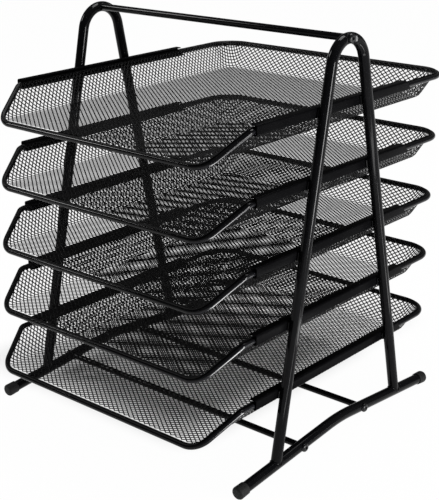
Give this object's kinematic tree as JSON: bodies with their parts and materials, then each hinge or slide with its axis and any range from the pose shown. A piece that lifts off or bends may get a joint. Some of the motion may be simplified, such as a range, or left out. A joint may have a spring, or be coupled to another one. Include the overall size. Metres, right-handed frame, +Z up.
{
  "type": "stack of document trays",
  "caption": "Desk organizer with black mesh trays that slide forward in channel rails between two A-shaped frames of bent tube, with a carrying bar on top.",
  "frame": {"origin": "on the desk, under the middle of the outline", "axes": "+Z up, -Y towards the open front of the trays, +X to the right side"},
  "size_m": [0.313, 0.359, 0.3768],
  "materials": {
    "frame_coat": "glossy black powder coat on steel tube",
    "rail_coat": "satin black powder coat on folded sheet steel",
    "wire_coat": "glossy black powder coat on steel wire",
    "mesh_coat": "black powder coat on expanded steel mesh",
    "foot_rubber": "matte black rubber",
    "screw_coat": "black coated steel screw"
  },
  "bodies": {
    "frame": {"left_leg_hoop": "frame_coat", "left_foot_tube": "frame_coat", "left_front_foot_cap": "foot_rubber", "left_rear_foot_cap": "foot_rubber", "left_rail_1": "rail_coat", "left_rail_2": "rail_coat", "left_rail_3": "rail_coat", "left_rail_4": "rail_coat", "left_rail_5": "rail_coat", "right_leg_hoop": "frame_coat", "right_foot_tube": "frame_coat", "right_front_foot_cap": "foot_rubber", "right_rear_foot_cap": "foot_rubber", "right_rail_1": "rail_coat", "right_rail_2": "rail_coat", "right_rail_3": "rail_coat", "right_rail_4": "rail_coat", "right_rail_5": "rail_coat", "handle_bar": "frame_coat", "front_cross_rod": "frame_coat", "rear_cross_rod": "frame_coat", "handle_screws": "screw_coat", "cross_rod_screws": "screw_coat"},
    "tray_1": {"tray_1_rim_wire": "wire_coat", "tray_1_mesh_basket": "mesh_coat"},
    "tray_2": {"tray_2_rim_wire": "wire_coat", "tray_2_mesh_basket": "mesh_coat"},
    "tray_3": {"tray_3_rim_wire": "wire_coat", "tray_3_mesh_basket": "mesh_coat"},
    "tray_4": {"tray_4_rim_wire": "wire_coat", "tray_4_mesh_basket": "mesh_coat"},
    "tray_5": {"tray_5_rim_wire": "wire_coat", "tray_5_mesh_basket": "mesh_coat"}
  },
  "joints": [
    {"name": "tray_1_slide", "type": "slide", "parent": "frame", "child": "tray_1", "axis": [0, -1, 0], "range_m": [0, 0.2]},
    {"name": "tray_2_slide", "type": "slide", "parent": "frame", "child": "tray_2", "axis": [0, -1, 0], "range_m": [-0.0034, 0.1966]},
    {"name": "tray_3_slide", "type": "slide", "parent": "frame", "child": "tray_3", "axis": [0, -1, 0], "range_m": [-0.0068, 0.1932]},
    {"name": "tray_4_slide", "type": "slide", "parent": "frame", "child": "tray_4", "axis": [0, -1, 0], "range_m": [-0.0102, 0.1898]},
    {"name": "tray_5_slide", "type": "slide", "parent": "frame", "child": "tray_5", "axis": [0, -1, 0], "range_m": [-0.0136, 0.1864]}
  ]
}
